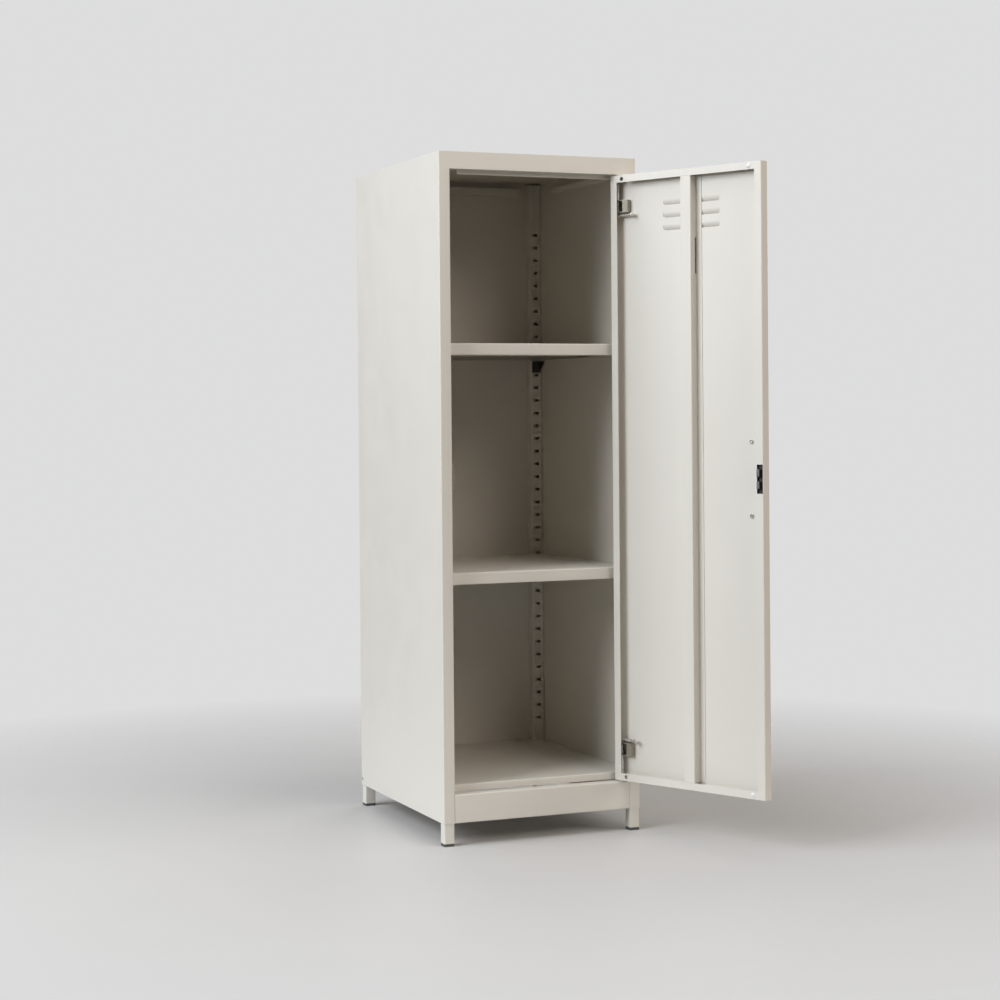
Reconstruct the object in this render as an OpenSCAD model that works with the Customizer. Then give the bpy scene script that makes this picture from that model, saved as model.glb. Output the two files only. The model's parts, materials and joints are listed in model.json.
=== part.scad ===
// Single-door steel locker cabinet on four short legs, with two adjustable shelves.
// Origin: centre of the body's footprint, on the floor. Front faces -Y, +Z is up.
// The door is drawn closed and then swung to its rest position, fully open.

/* [Body] */
// Overall width
cabinet_w = 380; // [360:1:440]
// Depth of the body, without the door handle
cabinet_d = 450; // [430:1:500]
// Height from the floor to the top
cabinet_h = 1215; // [1200:1:1240]
// Height of the body's underside above the floor
leg_h = 40; // [36:1:48]
// Height of the top cap's skirt
cap_h = 30; // [26:1:34]
// Width of each front stile
stile_w = 21; // [21:0.5:24]
// Depth of the stile's return, behind the front face
stile_return = 20; // [20:0.5:22]
// Height of the front rail under the door
bottom_rail_h = 50; // [46:1:54]
// Thickness of the painted sheet
sheet = 1; // [0.8:0.1:1]
// Inner radius of the folds
fold_r = 1; // [0.8:0.1:1.2]

/* [Door] */
// Gap beside the door, at each stile
side_gap = 2.5; // [2.4:0.1:3]
// Gap above the door
top_gap = 2; // [2:0.1:3]
// Gap below the door
bottom_gap = 3; // [3:0.1:4]
// Thickness of the door
door_t = 18; // [18:0.5:20]
// Width of the door's vertical inner flanges
flange_w = 15; // [15:0.5:18]
// Height of the door's horizontal inner flanges
flange_h = 13; // [13:0.5:16]
// Distance of the pivot from the door's hinge edge
pivot_inset = 8.5; // [8.5:0.1:10]
// Distance of the pivot behind the door's front face
pivot_depth = 7.2; // [6.8:0.1:7.2]
// How far the door stands open at rest, in degrees
open_angle = 115; // [90:1:115]
// Length of one louvre
louvre_l = 124; // [80:1:160]
// Distance between louvres
louvre_pitch = 22.5; // [20:0.5:26]
// Distance between the handle's screws
handle_pitch = 128; // [96:32:160]
// Height of the handle's and the catch's middle
catch_z = 641; // [600:1:680]

/* [Shelves] */
// Height of a shelf's lip
shelf_h = 21; // [18:1:24]
// Height of the highest slot in the uprights
first_slot_z = 1110.5; // [1100:0.5:1120]
// Distance between slots
slot_pitch = 25.3; // [25:0.1:26]
// Slots above the one that holds the upper shelf
upper_shelf_slot = 10; // [6:1:14]
// Slots above the one that holds the lower shelf
lower_shelf_slot = 26; // [22:1:30]

/* [Hidden] */
$fn = 48;

ivory = [0.85, 0.82, 0.76];
zinc = [0.72, 0.73, 0.74];
spring_steel = [0.55, 0.56, 0.58];
black_plastic = [0.08, 0.08, 0.09];
grey_plastic = [0.27, 0.28, 0.30];
white_plastic = [0.95, 0.95, 0.96];

// Outer planes of the body
side_x = cabinet_w / 2;
front_y = -cabinet_d / 2;
rear_y = cabinet_d / 2;
seam_z = cabinet_h - cap_h;
inner_x = side_x - sheet;
stile_x = side_x - stile_w;
stop_y = front_y + stile_return;
back_y = rear_y - 2 * sheet;
rail_top_z = leg_h + bottom_rail_h;
floor_z = rail_top_z + 14;
lip_gap = 1.5;

// Legs and uprights
tube_wall = 1.2;
leg_w = 20;
front_leg_w = stile_w - 2 * sheet - 0.2;
front_leg_d = stile_return - sheet + 0.6;
front_post_y = front_y + sheet + front_leg_d;
glide_h = 5;
glide_plug_h = 13;
front_upright_top_z = seam_z - 11;
rear_upright_top_z = cabinet_h - 5.5;
rear_upright_w = 24;
rear_upright_d = 19.5;
rear_post_y = back_y - rear_upright_d;
rear_slot_x = inner_x - rear_upright_w / 2;
front_slot_x = side_x - sheet - 0.1 - front_leg_w / 2;
slot_w = 9;
slot_h = 5.5;
slot_count = floor((first_slot_z - floor_z - 40) / slot_pitch) + 1;

// Shelves
shelf_x = inner_x - 1.5;
shelf_front_y = front_post_y + 1.4;
shelf_rear_y = rear_post_y - 0.9;
shelf_return = 11;
shelf_rise = 2.5;
clip_t = 1.6;
clip_h = 23;
clip_gusset_h = 17.5;
clip_reach = 16;
clip_w = 18;

// Top frame
back_lap = 17;
side_rail_h = 10;
side_rail_z = seam_z + 1;
side_rail_rear_y = 118;
rear_rail_h = 14.5;
rear_rail_z = seam_z + 3;
rear_rail_l = 290;
top_rail_w = 15;
door_stop_l = 296;

// Door, in its closed place
door_x = stile_x - side_gap;
door_top_z = seam_z - top_gap;
door_bottom_z = rail_top_z + bottom_gap;
door_y = front_y + door_t;
skin_y = front_y + sheet;
pivot = [door_x - pivot_inset, front_y + pivot_depth, 0];
door_edge_r = 2;
press_x = -3.5;
hat_w = 23.5;
hat_flange = 11.5;
hat_slit_low_z = door_top_z - 184;
hat_slit_h = 63;
hat_slit_w = 3.5;
louvre_h = 10;
louvre_bend_r = 13.5;
louvre_corner_r = 4;
louvre_slit = 0.4;
top_louvre_z = door_top_z - 49;
bumper_inset = 26.5;
bumper_edge = 7;
bumper_hole_r = 3.6;

// Hinge pins, springs and brackets, measured from the door's upper or lower end
pin_r = 3;
running_fit = 0.08;
pin_proud = 9;
pin_bend_r = 4.5;
pin_chamfer = 1;
arm_l = 36.5;
arm_bend_r = 6;
arm_tip_l = 2;
bracket_near = 44;
bracket_far = 66.5;
bracket_t = 1.5;
bracket_base_x = [34, 13];
bracket_web_w = 12;
bracket_wall_h = 9.5;
ear_tip = 4.6;
spring_wire_r = 0.45;
spring_turns = 7;
clip_ring_t = 1;
bush_flange_r = 6;
bush_r = 4.4;
bush_hole_r = 4.5;

// Catch
aperture_h = 50;
aperture_edge = 1.3;
aperture_w = 12.2;
case_h = 60;
case_w = 13.4;
case_side_gap = 0.5;
case_floor = 1;
recess_d = 2.6;
recess_edge = 1.1;
pole_inset = 7.2;
pole_w = 5.6;
pole_h = 13;
pole_gap = 8;
pole_proud = 2.3;
pole_fit = 0.1;
strike_h = 44;
strike_t = 1.5;
strike_lap = 3.4;
strike_screw_r = 2;
strike_screw_pitch = 12;

// Handle
handle_inset = 36;
handle_reach = 27;
handle_r = 4.5;
handle_bend_r = 9;
handle_screw_r = 2;

// ---------------------------------------------------------------- shared shapes

// Box between two opposite corners
module block(low, high) {
    translate(low)
        cube(high - low);
}

// Rectangle between two opposite corners, with its corners rounded
module soft_square(low, high, r) {
    difference() {
        translate(low)
            square(high - low);
        for (ix = [0, 1], iy = [0, 1]) {
            corner = [ix ? high.x : low.x, iy ? high.y : low.y];
            inward = [ix ? -1 : 1, iy ? -1 : 1];
            centre = corner + inward * r;
            difference() {
                translate([min(corner.x, centre.x), min(corner.y, centre.y)])
                    square(r);
                translate(centre)
                    circle(r);
            }
        }
    }
}

function step_of(a, b) = (b - a) / norm(b - a);

// Section of a folded sheet: square-on legs along the middle of the sheet, joined by round bends
module folded(path, t = sheet, r = fold_r) {
    last = len(path) - 1;
    mid = r + t / 2;
    for (i = [0 : last - 1]) {
        way = step_of(path[i], path[i + 1]);
        a = path[i] + way * (i == 0 ? 0 : mid);
        b = path[i + 1] - way * (i == last - 1 ? 0 : mid);
        across = [abs(way.y), abs(way.x)] * t / 2;
        low = [min(a.x, b.x), min(a.y, b.y)] - across;
        high = [max(a.x, b.x), max(a.y, b.y)] + across;
        translate(low)
            square(high - low);
    }
    for (i = [1 : last - 1]) {
        way_in = step_of(path[i - 1], path[i]);
        way_out = step_of(path[i], path[i + 1]);
        centre = path[i] + (way_out - way_in) * mid;
        far = centre + (way_in - way_out) * (mid + t / 2);
        intersection() {
            translate(centre)
                difference() {
                    circle(mid + t / 2);
                    circle(mid - t / 2);
                }
            translate([min(centre.x, far.x), min(centre.y, far.y)])
                square(mid + t / 2);
        }
    }
}

// Extrudes a section drawn in Y and Z along X
module along_x(x0, x1) {
    translate([x0, 0, 0])
        rotate([90, 0, 90])
            linear_extrude(x1 - x0)
                children();
}

// Extrudes a section drawn in X and Z along Y
module along_y(y0, y1) {
    translate([0, y1, 0])
        rotate([90, 0, 0])
            linear_extrude(y1 - y0)
                children();
}

// Extrudes a plan section along Z
module along_z(z0, z1) {
    translate([0, 0, z0])
        linear_extrude(z1 - z0)
            children();
}

// Round bar between two heights
module post(place, r, z0, z1) {
    translate([place.x, place.y, z0])
        cylinder(r = r, h = z1 - z0);
}

// Swings what is drawn on the closed door to the rest position
module on_open_door() {
    translate(pivot)
        rotate([0, 0, open_angle])
            translate(-pivot)
                children();
}

// Turns what is drawn for the door's lower end over to its upper end
module at_upper_end() {
    translate([0, 0, door_top_z])
        mirror([0, 0, 1])
            children();
}

// Places what is drawn for the door's end at z = 0 at its lower end
module at_lower_end() {
    translate([0, 0, door_bottom_z])
        children();
}

// ---------------------------------------------------------------- body

// Side sheet with its front stile, rear fold and bottom fold, drawn for the left
module side_sheet() {
    fold_x = side_x - sheet / 2;
    difference() {
        union() {
            along_z(leg_h, seam_z)
                folded([
                    [-stile_x - sheet / 2, stop_y],
                    [-stile_x - sheet / 2, front_y + sheet / 2],
                    [-fold_x, front_y + sheet / 2],
                    [-fold_x, rear_y - sheet / 2],
                    [-side_x + 12, rear_y - sheet / 2]
                ]);
            block([-inner_x, front_post_y + 1, leg_h], [-inner_x + 12, back_y - leg_w - 1, leg_h + sheet]);
        }
        translate([-side_x - 1, back_y - 5, leg_h + 11])
            rotate([0, 90, 0])
                cylinder(r = 2.9, h = sheet + 2);
    }
}

module left_side_panel() {
    color(ivory)
        side_sheet();
}

module right_side_panel() {
    color(ivory)
        mirror([1, 0, 0])
            side_sheet();
}

// Back sheet, between the folds of the side sheets and up behind the cap's skirt
module back_panel() {
    edge_x = inner_x - fold_r;
    color(ivory)
        block([-edge_x, back_y, leg_h + sheet], [edge_x, back_y + sheet, seam_z + back_lap]);
}

// Top sheet with a skirt all round and a return under the front
module top_cap() {
    color(ivory)
        difference() {
            union() {
                difference() {
                    along_z(seam_z, cabinet_h)
                        soft_square([-side_x, front_y], [side_x, rear_y], fold_r + sheet);
                    along_z(seam_z - 1, cabinet_h - sheet)
                        soft_square([-inner_x, front_y + sheet], [inner_x, rear_y - sheet], fold_r);
                }
                block([-inner_x, front_y + sheet / 2, seam_z], [inner_x, stop_y - fold_r, seam_z + sheet]);
            }
            post(pivot, bush_hole_r, seam_z - 1, seam_z + sheet + 1);
        }
}

// Angle under the front of the cap that the door closes against
module top_door_stop() {
    stop_low_z = seam_z - 7.5;
    leg_z = seam_z + sheet * 1.5;
    color(ivory)
        along_x(-door_stop_l / 2, door_stop_l / 2)
            folded([[stop_y + sheet / 2, stop_low_z], [stop_y + sheet / 2, leg_z], [stop_y - 14, leg_z]]);
}

// Channel along the inside of the cap's skirt, drawn for the left
module side_top_rail() {
    low = side_rail_z + sheet / 2;
    high = side_rail_z + side_rail_h - sheet / 2;
    face_x = inner_x - top_rail_w + sheet / 2;
    along_y(stop_y + 1, side_rail_rear_y)
        folded([[-inner_x, low], [-face_x, low], [-face_x, high], [-inner_x, high]]);
}

module left_top_rail() {
    color(ivory)
        side_top_rail();
}

module right_top_rail() {
    color(ivory)
        mirror([1, 0, 0])
            side_top_rail();
}

module rear_top_rail() {
    low = rear_rail_z + sheet / 2;
    high = rear_rail_z + rear_rail_h - sheet / 2;
    face_y = back_y - top_rail_w + sheet / 2;
    color(ivory)
        along_x(-rear_rail_l / 2, rear_rail_l / 2)
            folded([[back_y, low], [face_y, low], [face_y, high], [back_y, high]]);
}

// Front rail under the door, which carries the lower pivot bush
module bottom_rail() {
    low = leg_h + sheet / 2;
    high = rail_top_z - sheet / 2;
    face_y = front_y + sheet / 2;
    color(ivory)
        difference() {
            along_x(-stile_x, stile_x)
                folded([[front_y + 14, low], [face_y, low], [face_y, high], [stop_y, high]]);
            post(pivot, bush_hole_r, rail_top_z - 2, rail_top_z + 1);
        }
}

module rear_base_rail() {
    low = leg_h + 10 + sheet / 2;
    high = rail_top_z - sheet / 2;
    face_y = back_y - 14.5;
    end_x = inner_x - leg_w - 0.1;
    color(ivory)
        along_x(-end_x, end_x)
            folded([[back_y, low], [face_y, low], [face_y, high], [back_y, high]]);
}

// Bottom of the locker, with a lip behind the door's lower edge
module floor_pan() {
    top = floor_z - sheet / 2;
    mid_x = inner_x - leg_w - 0.1;
    edge_x = inner_x - 0.1;
    lip_y = shelf_front_y + sheet / 2;
    color(ivory)
        union() {
            along_x(-mid_x, mid_x)
                folded([
                    [lip_y, rail_top_z + lip_gap],
                    [lip_y, top],
                    [back_y - 0.6, top],
                    [back_y - 0.6, rail_top_z]
                ]);
            for (side = [0, 1])
                mirror([side, 0, 0]) {
                    block([mid_x, shelf_front_y, floor_z - sheet], [edge_x, back_y - 0.1, floor_z]);
                    block(
                        [edge_x - sheet, shelf_front_y, rail_top_z],
                        [edge_x, back_y - leg_w - 0.1, floor_z]
                    );
                }
        }
}

// ---------------------------------------------------------------- legs and uprights

// Square tube, standing on its glide
module tube(low, high, z0, z1) {
    along_z(z0, z1)
        difference() {
            soft_square(low, high, 2);
            soft_square(low + [tube_wall, tube_wall], high - [tube_wall, tube_wall], 0.8);
        }
}

// Plastic foot with a plug that fits inside the tube
module glide(low, high) {
    wall = tube_wall + 0.1;
    union() {
        along_z(0, glide_h)
            soft_square(low, high, 2);
        along_z(glide_h - 0.5, glide_h + glide_plug_h)
            soft_square(low + [wall, wall], high - [wall, wall], 0.7);
    }
}

// Outlines of the left legs, seen from above
front_leg_low = [-inner_x + 0.1, front_post_y - front_leg_d + 0.1];
front_leg_high = [-inner_x + 0.1 + front_leg_w, front_post_y];
rear_leg_low = [-inner_x, back_y - leg_w];
rear_leg_high = [-inner_x + leg_w, back_y];

module front_leg() {
    tube(front_leg_low, front_leg_high, glide_h, floor_z - 0.2);
}

// Rear leg, drilled for the screw through the side sheet
module rear_leg() {
    difference() {
        tube(rear_leg_low, rear_leg_high, glide_h, floor_z - sheet);
        translate([-side_x, back_y - 5, leg_h + 11])
            rotate([0, 90, 0])
                cylinder(r = 2, h = sheet + tube_wall + 1);
    }
}

module front_left_leg() {
    color(ivory)
        front_leg();
}

module front_right_leg() {
    color(ivory)
        mirror([1, 0, 0])
            front_leg();
}

module rear_left_leg() {
    color(ivory)
        rear_leg();
}

module rear_right_leg() {
    color(ivory)
        mirror([1, 0, 0])
            rear_leg();
}

module front_left_glide() {
    color(grey_plastic)
        glide(front_leg_low, front_leg_high);
}

module front_right_glide() {
    color(grey_plastic)
        mirror([1, 0, 0])
            glide(front_leg_low, front_leg_high);
}

module rear_left_glide() {
    color(grey_plastic)
        glide(rear_leg_low, rear_leg_high);
}

module rear_right_glide() {
    color(grey_plastic)
        mirror([1, 0, 0])
            glide(rear_leg_low, rear_leg_high);
}

// Row of slots cut square through a sheet at y0
module slots(x, y0) {
    for (i = [0 : slot_count - 1])
        block(
            [x - slot_w / 2, y0 - 2, slot_z(i) - slot_h / 2],
            [x + slot_w / 2, y0 + 2, slot_z(i) + slot_h / 2]
        );
}

function slot_z(i) = first_slot_z - i * slot_pitch;

// Slotted channel in a front corner, hidden behind the stile, drawn for the left
module front_upright() {
    t = tube_wall;
    outer = -inner_x + 0.1 + t / 2;
    inner = outer + front_leg_w - t;
    face_y = front_post_y - t / 2;
    difference() {
        along_z(floor_z, front_upright_top_z)
            folded([[outer, face_y - 13], [outer, face_y], [inner, face_y], [inner, face_y - 13]], t);
        slots(-front_slot_x, front_post_y - t / 2);
    }
}

// Slotted channel in a rear corner, drawn for the left
module rear_upright() {
    t = tube_wall;
    outer = -inner_x + t / 2;
    inner = outer + rear_upright_w - t;
    face_y = rear_post_y + t / 2;
    difference() {
        along_z(floor_z, rear_upright_top_z)
            folded([[outer, back_y], [outer, face_y], [inner, face_y], [inner, back_y]], t);
        slots(-rear_slot_x, rear_post_y + t / 2);
    }
}

module front_left_upright() {
    color(ivory)
        difference() {
            front_upright();
            strike_bores();
        }
}

module front_right_upright() {
    color(ivory)
        mirror([1, 0, 0])
            front_upright();
}

module rear_left_upright() {
    color(ivory)
        rear_upright();
}

module rear_right_upright() {
    color(ivory)
        mirror([1, 0, 0])
            rear_upright();
}

// Flush screws that fix the side sheets to the rear legs, with a hexagon socket
module leg_screws() {
    color(zinc)
        for (side = [0, 1])
            mirror([side, 0, 0])
                translate([-side_x, back_y - 5, leg_h + 11])
                    rotate([0, 90, 0])
                        difference() {
                            union() {
                                translate([0, 0, 0.1])
                                    cylinder(r = 2.8, h = sheet - 0.1);
                                cylinder(r = 1.95, h = sheet + tube_wall + 5);
                            }
                            translate([0, 0, -1])
                                cylinder(r = 1.5, h = 2.4, $fn = 6);
                        }
}

// ---------------------------------------------------------------- shelves

// Clip that hooks into one slot: face plate, tab under the shelf, gusset at the wall and hook.
// Drawn with the slot's middle at the origin, the sheet's face at y = 0 and the shelf at +Y.
module shelf_clip(wall_side) {
    top = shelf_rise - 0.3;
    union() {
        block([-clip_w / 2, 0, top - clip_h], [clip_w / 2, clip_t, top]);
        block([-clip_w / 2, 0, top - clip_t], [clip_w / 2, clip_reach, top]);
        translate([wall_side * (clip_w / 2 - clip_t / 2), 0, 0])
            along_x(-clip_t / 2, clip_t / 2)
                polygon([
                    [0, top - clip_gusset_h],
                    [clip_t, top - clip_gusset_h],
                    [clip_reach, top - 5],
                    [clip_reach, top],
                    [0, top]
                ]);
        block([-4, -3.2, -2], [4, 0.5, 0]);
        block([-4, -3.2, -9], [4, -1.5, 0]);
    }
}

// Four clips, one in each upright, for the shelf at one slot
module clip_set(slot) {
    color(spring_steel)
        for (side = [0, 1])
            mirror([side, 0, 0]) {
                translate([-front_slot_x, front_post_y, slot_z(slot)])
                    shelf_clip(-1);
                translate([-rear_slot_x, rear_post_y, slot_z(slot)])
                    mirror([0, 1, 0])
                        shelf_clip(-1);
            }
}

module upper_shelf_clips() {
    clip_set(upper_shelf_slot);
}

module lower_shelf_clips() {
    clip_set(lower_shelf_slot);
}

function shelf_low_z(slot) = slot_z(slot) + shelf_rise;

// Folded shelf with a lip and a return on all four sides
module shelf(slot) {
    bottom = shelf_low_z(slot);
    low = bottom + sheet / 2;
    high = bottom + shelf_h - sheet / 2;
    y0 = shelf_front_y;
    y1 = shelf_rear_y;
    color(ivory)
        union() {
            along_x(-shelf_x, shelf_x)
                folded([
                    [y0 + shelf_return, low],
                    [y0 + sheet / 2, low],
                    [y0 + sheet / 2, high],
                    [y1 - sheet / 2, high],
                    [y1 - sheet / 2, low],
                    [y1 - shelf_return, low]
                ]);
            for (side = [0, 1])
                mirror([side, 0, 0]) {
                    block([shelf_x - sheet, y0 + sheet, bottom + 0.5], [shelf_x, y1 - sheet, high]);
                    block(
                        [shelf_x - shelf_return, y0 + shelf_return, bottom],
                        [shelf_x, y1 - shelf_return, bottom + sheet]
                    );
                }
        }
}

// Hat section under the middle of a shelf
module shelf_brace(slot) {
    top = shelf_low_z(slot) + shelf_h - 1.5 * sheet;
    low = top - 14;
    end_x = shelf_x - 1.2;
    color(ivory)
        along_x(-end_x, end_x)
            folded([[-45, top], [-30, top], [-30, low], [30, low], [30, top], [45, top]]);
}

module upper_shelf() {
    shelf(upper_shelf_slot);
}

module lower_shelf() {
    shelf(lower_shelf_slot);
}

module upper_shelf_brace() {
    shelf_brace(upper_shelf_slot);
}

module lower_shelf_brace() {
    shelf_brace(lower_shelf_slot);
}

// ---------------------------------------------------------------- door

// Outline of one louvre in X and Z: straight along its top edge, at z, with round lower corners
module louvre_outline(z, w) {
    low_x = press_x - w / 2;
    soft_square([low_x, z - louvre_h], [low_x + w, z], louvre_corner_r);
    translate([low_x, z - louvre_h / 2])
        square([w, louvre_h / 2]);
}

// Tongue of one louvre, which leaves the skin at its top edge and curves outward
module louvre_tongue(z) {
    intersection() {
        along_y(front_y - 2 * louvre_h, skin_y)
            louvre_outline(z, louvre_l - 2 * louvre_slit);
        translate([press_x, front_y + sheet / 2 - louvre_bend_r, z])
            rotate([0, 90, 0])
                difference() {
                    cylinder(r = louvre_bend_r + sheet / 2, h = 2 * louvre_l, center = true);
                    cylinder(r = louvre_bend_r - sheet / 2, h = 3 * louvre_l, center = true);
                }
    }
}

// One sheet folded into a shallow tray, open between its flanges
module door_tray() {
    flange_end_x = door_x - flange_w;
    difference() {
        along_z(door_bottom_z, door_top_z)
            soft_square([-door_x, front_y], [door_x, door_y], door_edge_r);
        along_z(door_bottom_z + sheet, door_top_z - sheet)
            soft_square([-door_x + sheet, skin_y], [door_x - sheet, door_y - sheet], fold_r);
        block(
            [-flange_end_x, door_y - 2 * sheet, door_bottom_z + flange_h],
            [flange_end_x, door_y + 1, door_top_z - flange_h]
        );
    }
}

// Folded tray with three louvres, each cut on three sides and bent outward
module door_panel() {
    hole_x = door_x - bumper_inset;
    louvres = [for (i = [0 : 2]) top_louvre_z - i * louvre_pitch];
    color(ivory)
        on_open_door() {
            difference() {
                door_tray();
                for (z = louvres)
                    along_y(front_y - 1, skin_y + 1)
                        louvre_outline(z, louvre_l);
                post(pivot, pin_r + running_fit, door_bottom_z - 1, door_bottom_z + 3);
                post(pivot, pin_r + running_fit, door_top_z - 3, door_top_z + 1);
                for (x = [-hole_x, hole_x], z = [door_bottom_z + bumper_edge, door_top_z - bumper_edge])
                    translate([x, door_y - 2 * sheet, z])
                        rotate([-90, 0, 0])
                            cylinder(r = bumper_hole_r, h = 3 * sheet);
                for (z = [catch_z - handle_pitch / 2, catch_z + handle_pitch / 2])
                    translate([-door_x + handle_inset, front_y - 1, z])
                        rotate([-90, 0, 0])
                            cylinder(r = handle_screw_r + 0.25, h = sheet + 2);
                block(
                    [-door_x + aperture_edge, door_y - 2 * sheet, catch_z - aperture_h / 2],
                    [-door_x + aperture_edge + aperture_w, door_y + 1, catch_z + aperture_h / 2]
                );
            }
            for (z = louvres)
                louvre_tongue(z);
        }
}

// Hat section down the middle of the door, with a slit near the root of one side
module door_stiffener() {
    half = hat_w / 2 - sheet / 2;
    root_y = skin_y + sheet / 2;
    face_y = door_y - sheet / 2;
    foot = hat_w / 2 + hat_flange;
    color(ivory)
        on_open_door()
            difference() {
                along_z(door_bottom_z + flange_h + 0.2, door_top_z - flange_h - 0.2)
                    folded([
                        [press_x - foot, root_y],
                        [press_x - half, root_y],
                        [press_x - half, face_y],
                        [press_x + half, face_y],
                        [press_x + half, root_y],
                        [press_x + foot, root_y]
                    ]);
                block(
                    [press_x - hat_w, root_y + 1, hat_slit_low_z],
                    [press_x, root_y + 1 + hat_slit_w, hat_slit_low_z + hat_slit_h]
                );
            }
}

// Bracket for one hinge pin: a base on the skin, a folded hump towards the free edge and two ears that
// guide the pin. Drawn with the door's end at z = 0 and the door above it.
module hinge_bracket() {
    x0 = door_x - bracket_base_x[0];
    x1 = door_x - bracket_base_x[1];
    wall_y = skin_y + bracket_wall_h;
    ear_y = pivot.y + ear_tip;
    difference() {
        union() {
            block([x0, skin_y, bracket_near], [x1, skin_y + bracket_t, bracket_far]);
            block([x0, skin_y, bracket_near], [x0 + bracket_t, wall_y, bracket_far]);
            block([x0, wall_y - bracket_t, bracket_near], [x0 + bracket_web_w, wall_y, bracket_far]);
            for (z = [bracket_near, bracket_far - bracket_t]) {
                post(pivot, ear_tip, z, z + bracket_t);
                along_z(z, z + bracket_t)
                    polygon([
                        [x0, skin_y],
                        [pivot.x, skin_y],
                        [pivot.x, ear_y],
                        [x0 + bracket_web_w, wall_y],
                        [x0, wall_y]
                    ]);
            }
        }
        post(pivot, pin_r + running_fit, bracket_near - 1, bracket_far + 1);
    }
}

module upper_hinge_bracket() {
    color(zinc)
        on_open_door()
            at_upper_end()
                hinge_bracket();
}

module lower_hinge_bracket() {
    color(zinc)
        on_open_door()
            at_lower_end()
                hinge_bracket();
}

// Quarter turn of round bar
module quarter_turn(r) {
    rotate_extrude(angle = 90)
        translate([r, 0])
            circle(pin_r);
}

// Chamfered end of round bar, which starts at z = 0
module bar_end() {
    cylinder(r1 = pin_r, r2 = pin_r - pin_chamfer, h = pin_chamfer);
}

// Bent pin: a straight bar through the bracket and the door's end, an arm, and a turned-out finger tip
module hinge_pin() {
    bend_z = bracket_far + 0.5;
    arm_z = bend_z + pin_bend_r;
    turn_x = pivot.x - arm_l + arm_bend_r;
    tip_y = pivot.y + arm_bend_r;
    union() {
        post(pivot, pin_r, -pin_proud + pin_chamfer, bend_z);
        translate([pivot.x, pivot.y, -pin_proud + pin_chamfer])
            mirror([0, 0, 1])
                bar_end();
        translate([pivot.x - pin_bend_r, pivot.y, bend_z])
            rotate([90, 0, 0])
                quarter_turn(pin_bend_r);
        translate([turn_x, pivot.y, arm_z])
            rotate([0, 90, 0])
                cylinder(r = pin_r, h = pivot.x - pin_bend_r - turn_x);
        translate([turn_x, tip_y, arm_z])
            rotate([0, 0, 180])
                quarter_turn(arm_bend_r);
        translate([pivot.x - arm_l, tip_y, arm_z])
            rotate([-90, 0, 0]) {
                cylinder(r = pin_r, h = arm_tip_l);
                translate([0, 0, arm_tip_l])
                    bar_end();
            }
    }
}

module upper_hinge_pin() {
    color(zinc)
        on_open_door()
            at_upper_end()
                hinge_pin();
}

module lower_hinge_pin() {
    color(zinc)
        on_open_door()
            at_lower_end()
                hinge_pin();
}

// Retaining ring on the pin, which the spring pushes towards the door's end
module pin_clip() {
    z = bracket_near + bracket_t + 0.5;
    difference() {
        post(pivot, 5, z, z + clip_ring_t);
        post(pivot, pin_r, z - 1, z + clip_ring_t + 1);
    }
}

module upper_pin_clip() {
    color(spring_steel)
        on_open_door()
            at_upper_end()
                pin_clip();
}

module lower_pin_clip() {
    color(spring_steel)
        on_open_door()
            at_lower_end()
                pin_clip();
}

// Rings that stand for the turns of a coil spring
module spring_rings(place, r, wire_r, z0, z1, turns) {
    pitch = (z1 - z0 - 2 * wire_r) / (turns - 1);
    for (i = [0 : turns - 1])
        translate([place.x, place.y, z0 + wire_r + i * pitch])
            rotate_extrude()
                translate([r, 0])
                    circle(wire_r, $fn = 16);
}

module pin_spring() {
    z0 = bracket_near + bracket_t + 0.5 + clip_ring_t;
    spring_rings(pivot, pin_r + 0.9, spring_wire_r, z0, bracket_far - bracket_t, spring_turns);
}

module upper_pin_spring() {
    color(spring_steel)
        on_open_door()
            at_upper_end()
                pin_spring();
}

module lower_pin_spring() {
    color(spring_steel)
        on_open_door()
            at_lower_end()
                pin_spring();
}

// Flanged bush in the top or bottom frame, drawn with the frame's face at z = 0 and the frame above
module pivot_bush(flange_t) {
    difference() {
        union() {
            post(pivot, bush_flange_r, -flange_t, 0);
            post(pivot, bush_r, -flange_t, 8);
        }
        post(pivot, pin_r + running_fit, -flange_t - 1, 9);
    }
}

module upper_pivot_bush() {
    color(white_plastic)
        translate([0, 0, seam_z])
            pivot_bush(top_gap - 1);
}

module lower_pivot_bush() {
    color(white_plastic)
        translate([0, 0, rail_top_z])
            mirror([0, 0, 1])
                pivot_bush(bottom_gap - 0.5);
}

// Push-in buffer: low dome outside, stem through the flange and a head behind it
module bumper(z) {
    dome_h = 1.7;
    dome_r = bumper_hole_r + 0.7;
    ball_r = (dome_r * dome_r + dome_h * dome_h) / (2 * dome_h);
    on_open_door()
        translate([-door_x + bumper_inset, door_y, z])
            rotate([-90, 0, 0])
                union() {
                    intersection() {
                        translate([0, 0, dome_h - ball_r])
                            sphere(ball_r);
                        cylinder(r = dome_r + 1, h = dome_h + 1);
                    }
                    translate([0, 0, -sheet - 1.5])
                        cylinder(r = bumper_hole_r - 0.1, h = sheet + 1.7);
                    translate([0, 0, -sheet - 1.5])
                        cylinder(r = bumper_hole_r + 0.7, h = 1.4);
                }
}

module upper_bumper() {
    color(white_plastic)
        bumper(door_top_z - bumper_edge);
}

module lower_bumper() {
    color(white_plastic)
        bumper(door_bottom_z + bumper_edge);
}

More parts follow.
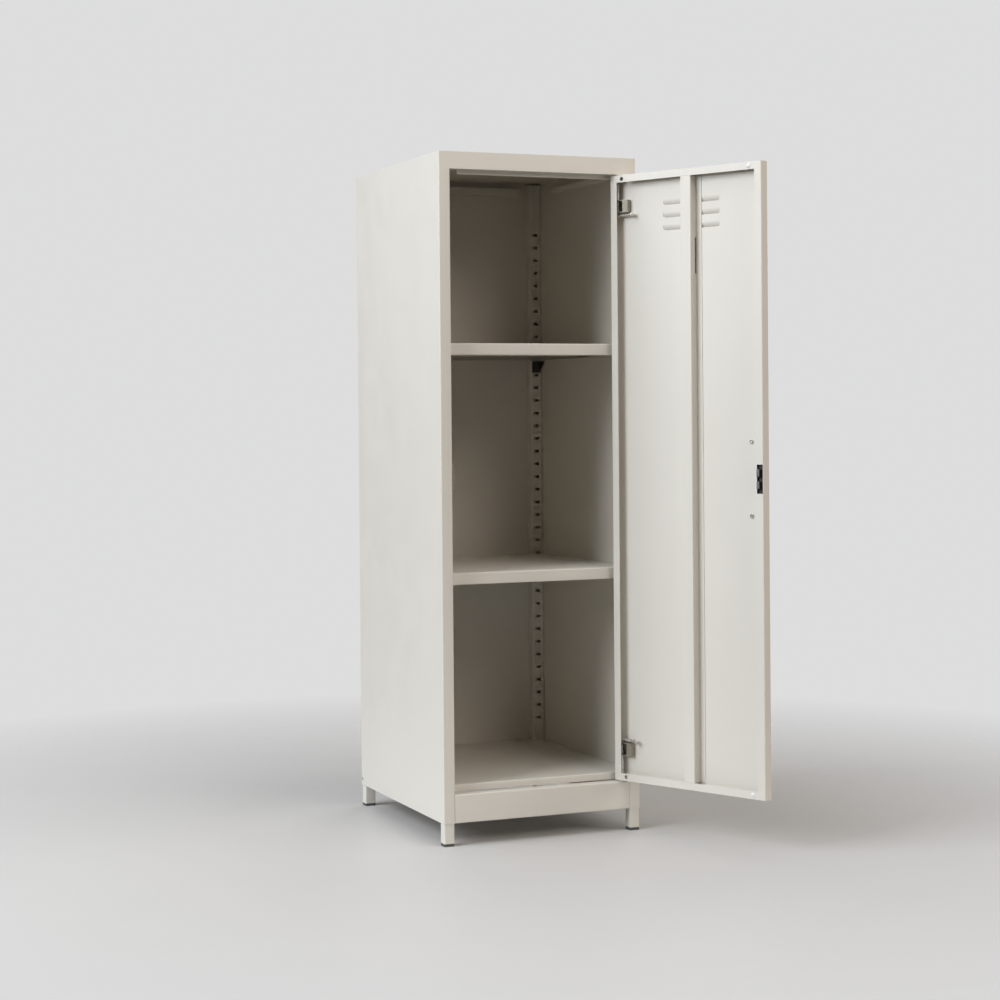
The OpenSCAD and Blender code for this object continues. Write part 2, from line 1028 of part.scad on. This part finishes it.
// Bow handle on the outside of the door, with a bore for a screw in each foot
module pull_handle() {
    x = -door_x + handle_inset;
    grip_y = front_y - handle_reach;
    half = handle_pitch / 2;
    color(ivory)
        on_open_door()
            translate([x, 0, catch_z])
                difference() {
                    union() {
                        translate([0, grip_y, -half + handle_bend_r])
                            cylinder(r = handle_r, h = handle_pitch - 2 * handle_bend_r);
                        for (end = [0, 1])
                            mirror([0, 0, end]) {
                                translate([0, grip_y + handle_bend_r, half - handle_bend_r])
                                    rotate([0, -90, 0])
                                        rotate([0, 0, 180])
                                            mirror([1, 0, 0])
                                                rotate_extrude(angle = 90)
                                                    translate([handle_bend_r, 0])
                                                        circle(handle_r);
                                translate([0, front_y, half])
                                    rotate([90, 0, 0])
                                        cylinder(r = handle_r, h = handle_reach - handle_bend_r);
                            }
                    }
                    for (z = [-half, half])
                        translate([0, front_y + 1, z])
                            rotate([90, 0, 0])
                                cylinder(r = handle_screw_r, h = 13);
                }
}

// Pan-head screws that hold the handle, from inside the door
module handle_screws() {
    color(zinc)
        on_open_door()
            for (z = [catch_z - handle_pitch / 2, catch_z + handle_pitch / 2])
                translate([-door_x + handle_inset, skin_y, z])
                    rotate([90, 0, 0])
                        difference() {
                            union() {
                                cylinder(r = handle_screw_r - 0.05, h = 11);
                                translate([0, 0, -1])
                                    cylinder(r = 3.8, h = 1);
                                intersection() {
                                    translate([0, 0, 2.2])
                                        sphere(5.6);
                                    translate([0, 0, -2.4])
                                        cylinder(r = 3.8, h = 1.5);
                                }
                            }
                            for (turn = [0, 90])
                                rotate([0, 0, turn])
                                    block([-2.4, -0.5, -4], [2.4, 0.5, -1.6]);
                        }
}

// ---------------------------------------------------------------- catch

case_x = -door_x + sheet + case_side_gap;
case_back_y = skin_y + 0.3;
case_front_y = door_y - sheet - 0.2;
pole_x = -door_x + pole_inset;
pole_back_y = case_back_y + case_floor + pole_fit;
pole_tip_y = door_y + pole_proud;
pole_half = pole_gap / 2 + pole_h;

// Case behind the opening in the door's free edge, with a sunk face and a slot for the magnet and its poles
module catch_case() {
    slot = [pole_w, 0, 2 * pole_half] + 2 * pole_fit * [1, 0, 1];
    color(black_plastic)
        on_open_door()
            difference() {
                block(
                    [case_x, case_back_y, catch_z - case_h / 2],
                    [case_x + case_w, case_front_y, catch_z + case_h / 2]
                );
                block(
                    [case_x + recess_edge, case_front_y - recess_d, catch_z - aperture_h / 2 + 1],
                    [case_x + case_w - recess_edge, case_front_y + 1, catch_z + aperture_h / 2 - 1]
                );
                translate([pole_x - pole_fit, pole_back_y - pole_fit, catch_z - slot.z / 2])
                    cube([slot.x, door_t, slot.z]);
            }
}

// Block magnet between the two poles
module catch_magnet() {
    color(grey_plastic)
        on_open_door()
            block(
                [pole_x, pole_back_y, catch_z - pole_gap / 2],
                [pole_x + pole_w, case_front_y - recess_d - 1, catch_z + pole_gap / 2]
            );
}

// Two steel pole shoes that stand a little out of the door and hold to the strike
module catch_poles() {
    color(zinc)
        on_open_door()
            for (side = [-1, 1]) {
                mid_z = catch_z + side * (pole_gap + pole_h) / 2;
                along_x(pole_x, pole_x + pole_w)
                    soft_square([pole_back_y, mid_z - pole_h / 2], [pole_tip_y, mid_z + pole_h / 2], 1);
            }
}

// Holes for the strike's screws, through the strike and the upright
module strike_bores() {
    for (z = [-strike_screw_pitch / 2, strike_screw_pitch / 2])
        translate([-front_slot_x, front_post_y - 3, catch_z + z])
            rotate([-90, 0, 0])
                cylinder(r = strike_screw_r + 0.1, h = 6);
}

// Flat steel plate on the left front upright, facing the poles
module catch_strike() {
    color(zinc)
        difference() {
            block(
                [-inner_x + 1.5, front_post_y, catch_z - strike_h / 2],
                [pole_x + strike_lap, front_post_y + strike_t, catch_z + strike_h / 2]
            );
            strike_bores();
        }
}

// Pan-head screws that hold the strike to the upright
module strike_screws() {
    color(zinc)
        for (z = [-strike_screw_pitch / 2, strike_screw_pitch / 2])
            translate([-front_slot_x, front_post_y + strike_t, catch_z + z])
                rotate([90, 0, 0])
                    difference() {
                        union() {
                            cylinder(r = strike_screw_r, h = strike_t + tube_wall + 3);
                            translate([0, 0, -1.8])
                                cylinder(r = 3.6, h = 1.8);
                        }
                        for (turn = [0, 90])
                            rotate([0, 0, turn])
                                block([-2.2, -0.4, -3], [2.2, 0.4, -1]);
                    }
}

// ---------------------------------------------------------------- what is drawn

left_side_panel();
right_side_panel();
back_panel();
top_cap();
top_door_stop();
left_top_rail();
right_top_rail();
rear_top_rail();
bottom_rail();
rear_base_rail();
floor_pan();
front_left_leg();
front_right_leg();
rear_left_leg();
rear_right_leg();
front_left_glide();
front_right_glide();
rear_left_glide();
rear_right_glide();
front_left_upright();
front_right_upright();
rear_left_upright();
rear_right_upright();
leg_screws();
upper_shelf_clips();
lower_shelf_clips();
upper_pivot_bush();
lower_pivot_bush();
catch_strike();
strike_screws();
upper_shelf();
upper_shelf_brace();
lower_shelf();
lower_shelf_brace();
door_panel();
door_stiffener();
upper_hinge_bracket();
lower_hinge_bracket();
upper_bumper();
lower_bumper();
pull_handle();
handle_screws();
upper_hinge_pin();
upper_pin_clip();
upper_pin_spring();
lower_hinge_pin();
lower_pin_clip();
lower_pin_spring();
catch_case();
catch_magnet();
catch_poles();
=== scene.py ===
"""Looks for the steel locker cabinet: finishes, rounded sheet edges, wound springs, light and camera."""

import json
import math

import bmesh
import bpy
from mathutils import Matrix, Vector


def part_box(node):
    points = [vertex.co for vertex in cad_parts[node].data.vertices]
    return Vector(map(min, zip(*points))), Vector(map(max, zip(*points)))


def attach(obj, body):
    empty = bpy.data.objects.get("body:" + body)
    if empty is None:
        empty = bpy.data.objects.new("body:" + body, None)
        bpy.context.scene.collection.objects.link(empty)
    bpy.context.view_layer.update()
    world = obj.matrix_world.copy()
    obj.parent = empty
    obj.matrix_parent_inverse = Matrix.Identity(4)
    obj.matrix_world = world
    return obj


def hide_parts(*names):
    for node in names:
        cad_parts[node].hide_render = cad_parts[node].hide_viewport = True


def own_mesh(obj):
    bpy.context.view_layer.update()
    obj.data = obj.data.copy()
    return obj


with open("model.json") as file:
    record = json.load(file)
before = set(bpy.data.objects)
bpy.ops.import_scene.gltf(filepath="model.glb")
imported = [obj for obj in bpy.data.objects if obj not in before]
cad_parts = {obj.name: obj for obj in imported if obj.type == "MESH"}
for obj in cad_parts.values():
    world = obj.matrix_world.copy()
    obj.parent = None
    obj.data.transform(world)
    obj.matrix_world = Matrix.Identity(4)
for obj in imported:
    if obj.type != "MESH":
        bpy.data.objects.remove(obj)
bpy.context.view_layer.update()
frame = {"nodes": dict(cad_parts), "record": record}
NODES = frame["nodes"]
RECORD = frame["record"]

MM = 0.001

# Camera: where it stands, where it points (degrees) and what it takes in
CAMERA_PLACE = Vector((-1.5029, -3.6906, 0.7599))
CAMERA_YAW = 22.345
CAMERA_PITCH = -0.512
CAMERA_ROLL = -0.479
CAMERA_LENS = 76.56
CAMERA_SENSOR = 36.0
CAMERA_SHIFT = -0.0694

# Finishes, as linear colours
IVORY = (0.740, 0.716, 0.655)
IVORY_SHADE = (0.710, 0.684, 0.621)
# Lighter ivory for the edges: partly worn thin paint, partly a painted highlight
WORN_EDGE_AND_HIGHLIGHT = (0.790, 0.772, 0.720)
ZINC = (0.400, 0.372, 0.318)
BRIGHT_ZINC = (0.820, 0.812, 0.795)
POLE_STEEL = (0.190, 0.192, 0.205)
WIRE = (0.480, 0.480, 0.490)
PHOSPHATE = (0.080, 0.075, 0.068)
BLACK = (0.018, 0.018, 0.019)
DARK_GREY = (0.085, 0.087, 0.092)
WHITE = (0.840, 0.845, 0.850)
FERRITE = (0.035, 0.035, 0.037)
FLOOR = (0.590, 0.584, 0.572)
BACKDROP = (0.725, 0.725, 0.730)
AMBIENT = (1.0, 0.84, 0.70)
AMBIENT_STRENGTH = 0.07

# Distances from the object at which the floor starts to fade and is gone
FLOOR_FADE = (0.5, 1.8)

# Wire radius of the two pin springs, their turns, the closed turns at each end and the steps in a turn
SPRING_WIRE = 0.45 * MM
SPRING_TURNS = 7
CLOSED_TURNS = 0.9
STEPS_IN_TURN = 28

# CAD meshes: points this close are one, and the angles (degrees) between faces up to which they are one
# flat face, up to which an edge is shaded smooth, and from which it is rounded
WELD_GAP = 0.002 * MM
FLAT_ANGLE = 0.5
SMOOTH_ANGLE = 32
ROUND_ANGLE = 40


# ---------------------------------------------------------------- materials

class Finish:
    """A node material with a Principled shader, and short calls to add its texture nodes."""

    def __init__(self, name, colour, roughness, metallic=0.0):
        self.material = bpy.data.materials.new(name)
        self.material.use_nodes = True
        self.tree = self.material.node_tree
        self.shader = self.tree.nodes["Principled BSDF"]
        self.shader.inputs["Base Color"].default_value = (*colour, 1)
        self.shader.inputs["Roughness"].default_value = roughness
        self.shader.inputs["Metallic"].default_value = metallic
        self.place = self.node("ShaderNodeTexCoord").outputs["Object"]
        self.normal = None

    def node(self, kind, **settings):
        made = self.tree.nodes.new(kind)
        for name, value in settings.items():
            setattr(made, name, value)
        return made

    def link(self, source, target):
        self.tree.links.new(source, target)

    def noise(self, size, detail=2.0, roughness=0.5, stretch=(1, 1, 1)):
        """Noise whose lumps are about size metres across, longer along the axes that stretch names."""
        place = self.place
        if stretch != (1, 1, 1):
            mapping = self.node("ShaderNodeMapping")
            mapping.inputs["Scale"].default_value = [1 / s for s in stretch]
            self.link(place, mapping.inputs["Vector"])
            place = mapping.outputs["Vector"]
        made = self.node("ShaderNodeTexNoise")
        made.inputs["Scale"].default_value = 1 / size
        made.inputs["Detail"].default_value = detail
        made.inputs["Roughness"].default_value = roughness
        self.link(place, made.inputs["Vector"])
        return made.outputs["Fac"]

    def remap(self, value, low, high, to_low, to_high):
        made = self.node("ShaderNodeMapRange")
        made.inputs["From Min"].default_value = low
        made.inputs["From Max"].default_value = high
        made.inputs["To Min"].default_value = to_low
        made.inputs["To Max"].default_value = to_high
        self.link(value, made.inputs["Value"])
        return made.outputs["Result"]

    def math(self, operation, first, second):
        made = self.node("ShaderNodeMath", operation=operation, use_clamp=True)
        for value, socket in zip((first, second), made.inputs):
            if isinstance(value, (int, float)):
                socket.default_value = value
            else:
                self.link(value, socket)
        return made.outputs["Value"]

    def mix(self, factor, first, second):
        """Colour that goes from first to second as factor goes from 0 to 1."""
        made = self.node("ShaderNodeMix", data_type="RGBA")
        self.link(factor, made.inputs["Factor"])
        for value, name in ((first, "A"), (second, "B")):
            socket = [s for s in made.inputs if s.name == name and s.type == "RGBA"][0]
            if isinstance(value, tuple):
                socket.default_value = (*value, 1)
            else:
                self.link(value, socket)
        return [s for s in made.outputs if s.type == "RGBA"][0]

    def bump(self, height, depth, strength=1.0):
        """Adds relief of that depth, in metres, over what is there already."""
        made = self.node("ShaderNodeBump")
        made.inputs["Distance"].default_value = depth
        made.inputs["Strength"].default_value = strength
        self.link(height, made.inputs["Height"])
        if self.normal is not None:
            self.link(self.normal, made.inputs["Normal"])
        self.normal = made.outputs["Normal"]

    def edge(self, width):
        """1 along the corners of the shape, within about width of them, and 0 elsewhere."""
        rounded = self.node("ShaderNodeBevel", samples=4)
        rounded.inputs["Radius"].default_value = width
        flat = self.node("ShaderNodeNewGeometry")
        dot = self.node("ShaderNodeVectorMath", operation="DOT_PRODUCT")
        self.link(rounded.outputs["Normal"], dot.inputs[0])
        self.link(flat.outputs["Normal"], dot.inputs[1])
        return self.remap(dot.outputs["Value"], 0.99, 0.80, 0.0, 1.0)

    def done(self, colour, roughness):
        """Connects colour, roughness and the relief so far to the shader."""
        self.link(colour, self.shader.inputs["Base Color"])
        self.link(roughness, self.shader.inputs["Roughness"])
        self.link(self.normal, self.shader.inputs["Normal"])
        return self.material


def powder_coat():
    """Ivory powder coat: orange peel, slow tone drift, handling marks in the gloss, and lighter edges that
    are partly thin worn paint and partly a painted highlight.
    """
    f = Finish("ivory_powder_coat", IVORY, 0.42)
    drift = f.remap(f.noise(0.35, 3.0), 0.35, 0.65, 0.0, 0.45)
    fleck = f.remap(f.noise(1.1 * MM, 1.0), 0.62, 0.72, 0.0, 0.22)
    colour = f.mix(drift, IVORY, IVORY_SHADE)
    colour = f.mix(fleck, colour, IVORY_SHADE)
    # Edges painted lighter in patches: partly worn thin paint, partly a painted highlight along the edges
    worn = f.math("MULTIPLY", f.edge(0.7 * MM), f.remap(f.noise(9 * MM, 3.0), 0.40, 0.62, 0.15, 0.75))
    colour = f.mix(worn, colour, WORN_EDGE_AND_HIGHLIGHT)
    marks = f.remap(f.noise(60 * MM, 5.0, 0.6), 0.35, 0.70, 0.36, 0.50)
    sheet_waves = f.noise(180 * MM, 1.0)
    orange_peel = f.noise(2.6 * MM, 2.0)
    powder_grain = f.noise(0.55 * MM, 2.0, 0.6)
    f.bump(sheet_waves, 0.9 * MM, 0.12)
    f.bump(orange_peel, 0.07 * MM, 0.55)
    f.bump(powder_grain, 0.018 * MM, 0.60)
    f.shader.inputs["Specular IOR Level"].default_value = 0.45
    return f.done(colour, marks)


def zinc_plate(name, colour, roughness, dull):
    """Plated steel: crystals in the plating, rolling lines and edges rubbed lighter."""
    f = Finish(name, colour, roughness, metallic=1.0)
    crystal = f.remap(f.noise(3.5 * MM, 3.0), 0.35, 0.65, 0.0, 1.0)
    lines = f.noise(0.5 * MM, 2.0, 0.5, stretch=(1, 1, 14))
    tone = f.mix(crystal, colour, tuple(c * dull for c in colour))
    rough = f.remap(crystal, 0.0, 1.0, roughness, roughness + 0.10)
    worn = f.math("MULTIPLY", f.edge(0.35 * MM), f.remap(f.noise(3 * MM), 0.4, 0.6, 0.2, 0.8))
    tone = f.mix(worn, tone, tuple(min(1.0, c * 1.25) for c in colour))
    f.bump(lines, 0.006 * MM, 0.3)
    f.bump(f.noise(2.5 * MM, 2.0), 0.012 * MM, 0.3)
    return f.done(tone, rough)


def drawn_wire():
    """Drawn spring wire with dark patches of scale."""
    f = Finish("drawn_spring_wire", WIRE, 0.28, metallic=1.0)
    scale = f.remap(f.noise(0.5 * MM, 3.0), 0.3, 0.7, 0.24, 0.42)
    tone = f.mix(f.remap(f.noise(1.6 * MM, 2.0), 0.4, 0.6, 0.0, 0.6), WIRE, tuple(c * 0.72 for c in WIRE))
    f.bump(f.noise(0.3 * MM, 2.0), 0.008 * MM, 0.4)
    return f.done(tone, scale)


def phosphate():
    """Dark spring steel clips, rubbed lighter at their edges."""
    f = Finish("dark_phosphate_steel", PHOSPHATE, 0.48, metallic=0.6)
    rubbed = f.math("MULTIPLY", f.edge(0.5 * MM), f.remap(f.noise(2.5 * MM, 3.0), 0.38, 0.60, 0.0, 0.9))
    tone = f.mix(rubbed, PHOSPHATE, tuple(c * 2.6 for c in PHOSPHATE))
    f.bump(f.noise(0.5 * MM, 3.0), 0.02 * MM, 0.5)
    return f.done(tone, f.remap(f.noise(4 * MM, 3.0), 0.3, 0.7, 0.38, 0.60))


def moulded(name, colour, roughness, grain, light_edge=1.3, soft=0.0):
    """Moulded plastic with a fine spark-eroded grain and edges that shine a little."""
    f = Finish(name, colour, roughness)
    cloud = f.remap(f.noise(12 * MM, 3.0), 0.35, 0.65, 0.0, 0.5)
    tone = f.mix(cloud, colour, tuple(c * 0.88 for c in colour))
    tone = f.mix(f.edge(0.4 * MM), tone, tuple(min(1.0, c * light_edge) for c in colour))
    rough = f.remap(f.noise(5 * MM, 4.0), 0.3, 0.7, roughness - 0.06, roughness + 0.08)
    f.bump(f.noise(grain, 2.0, 0.6), 0.03 * MM, 0.45)
    if soft:
        f.shader.inputs["Subsurface Weight"].default_value = soft
        f.shader.inputs["Subsurface Radius"].default_value = (1.0 * MM, 1.0 * MM, 1.0 * MM)
    return f.done(tone, rough)


def studio_floor():
    """Pale, faintly polished floor that fades out well away from the object."""
    f = Finish("pale_floor", FLOOR, 0.50)
    tone = f.mix(f.remap(f.noise(0.9, 3.0), 0.3, 0.7, 0.0, 1.0), FLOOR, tuple(c * 0.992 for c in FLOOR))
    rough = f.remap(f.noise(0.12, 4.0), 0.3, 0.7, 0.47, 0.53)
    f.bump(f.noise(3 * MM, 2.0), 0.03 * MM, 0.35)
    length = f.node("ShaderNodeVectorMath", operation="LENGTH")
    f.link(f.place, length.inputs[0])
    fade = f.remap(length.outputs["Value"], FLOOR_FADE[0], FLOOR_FADE[1], 1.0, 0.0)
    f.link(fade, f.shader.inputs["Alpha"])
    f.shader.inputs["Specular IOR Level"].default_value = 0.30
    return f.done(tone, rough)


IVORY_STEEL = powder_coat()
PLATED = zinc_plate("satin_zinc_plate", ZINC, 0.50, 0.88)
BRIGHT = zinc_plate("bright_zinc_plate", BRIGHT_ZINC, 0.24, 0.94)
POLES = zinc_plate("dull_pole_steel", POLE_STEEL, 0.52, 0.85)
SPRING = drawn_wire()
CLIP_STEEL = phosphate()
BLACK_MOULDED = moulded("black_moulded_plastic", BLACK, 0.46, 0.6 * MM, light_edge=2.0)
GREY_MOULDED = moulded("dark_grey_moulded_plastic", DARK_GREY, 0.55, 0.8 * MM, light_edge=1.5)
WHITE_MOULDED = moulded("white_moulded_plastic", WHITE, 0.36, 1.5 * MM, light_edge=1.05, soft=0.25)
MAGNET = moulded("dark_ferrite", FERRITE, 0.62, 0.9 * MM, light_edge=1.8)

FINISH_OF_SLOT = {
    "ivory_paint": IVORY_STEEL,
    "zinc_plate": PLATED,
    "spring_steel": SPRING,
    "dark_clip_steel": CLIP_STEEL,
    "dark_grey_plastic": GREY_MOULDED,
    "white_plastic": WHITE_MOULDED,
    "black_plastic": BLACK_MOULDED,
    "dark_magnet": MAGNET,
}
FINISH_OF_NODE = {
    "upper_hinge_pin": BRIGHT,
    "lower_hinge_pin": BRIGHT,
    "handle_screws": BRIGHT,
    "catch_poles": POLES,
}


# ---------------------------------------------------------------- CAD nodes

def smooth_by_angle(limit):
    """Geometry nodes that shade a mesh smooth, with edges sharper than limit (degrees) kept sharp."""
    group = bpy.data.node_groups.new("smooth_by_angle", "GeometryNodeTree")
    group.interface.new_socket("Geometry", in_out="INPUT", socket_type="NodeSocketGeometry")
    group.interface.new_socket("Geometry", in_out="OUTPUT", socket_type="NodeSocketGeometry")
    start = group.nodes.new("NodeGroupInput")
    end = group.nodes.new("NodeGroupOutput")
    faces = group.nodes.new("GeometryNodeSetShadeSmooth")
    edges = group.nodes.new("GeometryNodeSetShadeSmooth")
    edges.domain = "EDGE"
    edges.inputs["Shade Smooth"].default_value = False
    angle = group.nodes.new("GeometryNodeInputMeshEdgeAngle")
    sharp = group.nodes.new("FunctionNodeCompare")
    sharp.inputs[1].default_value = math.radians(limit)
    group.links.new(start.outputs[0], faces.inputs["Geometry"])
    group.links.new(faces.outputs[0], edges.inputs["Geometry"])
    group.links.new(angle.outputs["Unsigned Angle"], sharp.inputs[0])
    group.links.new(sharp.outputs["Result"], edges.inputs["Selection"])
    group.links.new(edges.outputs[0], end.inputs[0])
    return group


SMOOTH = smooth_by_angle(SMOOTH_ANGLE)
EDGE_ROUND = {
    "ivory_paint": 0.22 * MM,
    "zinc_plate": 0.12 * MM,
    "dark_clip_steel": 0.18 * MM,
    "dark_grey_plastic": 0.45 * MM,
    "black_plastic": 0.15 * MM,
}


def round_edges(obj, width):
    """Rounds every sharp edge of a CAD node with modifiers, and leaves its mesh alone."""
    weld = obj.modifiers.new("weld", "WELD")
    weld.merge_threshold = WELD_GAP
    flat = obj.modifiers.new("flat_faces", "DECIMATE")
    flat.decimate_type = "DISSOLVE"
    flat.angle_limit = math.radians(FLAT_ANGLE)
    shade = obj.modifiers.new("smooth", "NODES")
    shade.node_group = SMOOTH
    if width:
        bevel = obj.modifiers.new("round", "BEVEL")
        bevel.width = width
        bevel.segments = 2
        bevel.limit_method = "ANGLE"
        bevel.angle_limit = math.radians(ROUND_ANGLE)
        bevel.harden_normals = True
        bevel.use_clamp_overlap = True


def finish_nodes():
    """Gives every CAD node its finish and rounds its edges."""
    slots = {s["node"]: s["material_slot"] for s in RECORD["subparts"]}
    for name, obj in NODES.items():
        finish = FINISH_OF_NODE.get(name, FINISH_OF_SLOT[slots[name]])
        obj.data.materials.clear()
        obj.data.materials.append(finish)
        round_edges(obj, EDGE_ROUND.get(slots[name], 0))


# ---------------------------------------------------------------- springs

def tube_mesh(name, points, radius, sides=12):
    """Round wire along points, closed at both ends."""
    bm = bmesh.new()
    rings = []
    up = Vector((0, 0, 1))
    for i, point in enumerate(points):
        ahead = points[min(i + 1, len(points) - 1)] - points[max(i - 1, 0)]
        side = ahead.cross(up).normalized()
        over = side.cross(ahead).normalized()
        ring = []
        for k in range(sides):
            turn = 2 * math.pi * k / sides
            ring.append(bm.verts.new(point + (side * math.cos(turn) + over * math.sin(turn)) * radius))
        rings.append(ring)
    for a, b in zip(rings, rings[1:]):
        for k in range(sides):
            bm.faces.new((a[k], a[(k + 1) % sides], b[(k + 1) % sides], b[k]))
    bm.faces.new(rings[0])
    bm.faces.new(reversed(rings[-1]))
    bmesh.ops.recalc_face_normals(bm, faces=bm.faces)
    mesh = bpy.data.meshes.new(name)
    bm.to_mesh(mesh)
    bm.free()
    for face in mesh.polygons:
        face.use_smooth = len(face.vertices) == 4
    obj = bpy.data.objects.new(name, mesh)
    bpy.context.scene.collection.objects.link(obj)
    return obj


def wound_spring(node):
    """A helix with closed end coils in place of a CAD node's rings, carried by the door."""
    turns, wire = SPRING_TURNS, SPRING_WIRE
    low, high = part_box(node)
    centre = (low + high) / 2
    radius = (high.x - low.x) / 2 - wire
    base = low.z + wire
    height = high.z - low.z - 2 * wire
    steps = turns * STEPS_IN_TURN
    dead = CLOSED_TURNS / turns
    points = []
    for i in range(steps + 1):
        share = i / steps
        rise = min(max((share - dead) / (1 - 2 * dead), 0.0), 1.0)
        closed = 2 * wire * (min(share, dead) + max(share - 1 + dead, 0.0)) / dead
        turn = 2 * math.pi * turns * share
        z = base + closed + rise * (height - 4 * wire)
        points.append(Vector((centre.x + radius * math.cos(turn), centre.y + radius * math.sin(turn), z)))
    obj = tube_mesh("wound_" + node, points, wire)
    obj.data.materials.append(SPRING)
    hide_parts(node)
    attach(obj, "door")
    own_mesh(obj)


# ---------------------------------------------------------------- stage

def floor_disc():
    """Round pale floor, a little wider than where it has faded out."""
    bpy.ops.mesh.primitive_circle_add(vertices=96, radius=FLOOR_FADE[1] + 0.1, fill_type="NGON")
    floor = bpy.context.object
    floor.name = "studio_floor"
    floor.data.materials.append(studio_floor())


def surround():
    """Pale backdrop for the camera, and a weak warm light from all round for everything else."""
    world = bpy.data.worlds.new("studio_surround")
    bpy.context.scene.world = world
    world.use_nodes = True
    tree = world.node_tree
    seen = tree.nodes["Background"]
    seen.inputs["Color"].default_value = (*BACKDROP, 1)
    seen.inputs["Strength"].default_value = 1.0
    ambient = tree.nodes.new("ShaderNodeBackground")
    ambient.inputs["Color"].default_value = (*AMBIENT, 1)
    ambient.inputs["Strength"].default_value = AMBIENT_STRENGTH
    path = tree.nodes.new("ShaderNodeLightPath")
    choose = tree.nodes.new("ShaderNodeMixShader")
    tree.links.new(path.outputs["Is Camera Ray"], choose.inputs[0])
    tree.links.new(ambient.outputs[0], choose.inputs[1])
    tree.links.new(seen.outputs[0], choose.inputs[2])
    tree.links.new(choose.outputs[0], tree.nodes["World Output"].inputs["Surface"])


def softbox(name, place, aim, size, power, colour, in_gloss=True):
    """Rectangular light that faces its aim; in_gloss says whether reflections show it."""
    light = bpy.data.lights.new(name, "AREA")
    light.shape = "RECTANGLE"
    light.size, light.size_y = size
    light.energy = power
    light.color = colour
    obj = bpy.data.objects.new(name, light)
    obj.location = place
    obj.rotation_euler = (Vector(aim) - Vector(place)).to_track_quat("-Z", "Y").to_euler()
    obj.visible_glossy = in_gloss
    bpy.context.scene.collection.objects.link(obj)


def lights():
    """Key from the left, warm fills from the front and right, and light from above and behind.

    The side fill and the rear light stay out of reflections, or the top of the cap burns out when it is
    seen from the other side.
    """
    softbox("key", (-3.4, -0.6, 2.4), (0, 0, 0.9), (2.6, 2.4), 155, (0.912, 0.950, 1.0))
    softbox("front_fill", (1.4, -4.1, 2.9), (0, 0, 0.8), (2.4, 1.6), 60, (1.0, 0.87, 0.78))
    softbox("side_fill", (3.2, -2.4, 1.6), (0.3, -0.4, 0.6), (1.6, 1.6), 42, (1.0, 0.95, 0.89), False)
    softbox("top", (-0.5, -0.3, 3.6), (-0.4, 0, 0), (3.6, 3.6), 59, (0.960, 0.975, 1.0))
    softbox("rear", (2.6, 3.0, 1.9), (0, 0, 0.6), (2.2, 2.2), 47, (0.960, 0.975, 1.0), False)


def camera():
    """Camera at its place, turned by yaw, pitch and roll from looking along +Y."""
    yaw, pitch, roll = (math.radians(a) for a in (CAMERA_YAW, CAMERA_PITCH, CAMERA_ROLL))
    ahead = Vector((math.sin(yaw) * math.cos(pitch), math.cos(yaw) * math.cos(pitch), math.sin(pitch)))
    level = Vector((math.cos(yaw), -math.sin(yaw), 0))
    above = level.cross(ahead)
    right = level * math.cos(roll) + above * math.sin(roll)
    up = above * math.cos(roll) - level * math.sin(roll)
    data = bpy.data.cameras.new("camera")
    data.sensor_width = CAMERA_SENSOR
    data.lens = CAMERA_LENS
    data.shift_y = CAMERA_SHIFT
    data.clip_end = 100
    obj = bpy.data.objects.new("camera", data)
    turned = Matrix((right, up, -ahead)).transposed().to_4x4()
    obj.matrix_world = Matrix.Translation(CAMERA_PLACE) @ turned
    bpy.context.scene.collection.objects.link(obj)
    bpy.context.scene.camera = obj


# ---------------------------------------------------------------- the scene

finish_nodes()
for end in ("upper", "lower"):
    wound_spring(end + "_pin_spring")
floor_disc()
surround()
lights()
camera()
bpy.context.scene.view_settings.view_transform = "Standard"
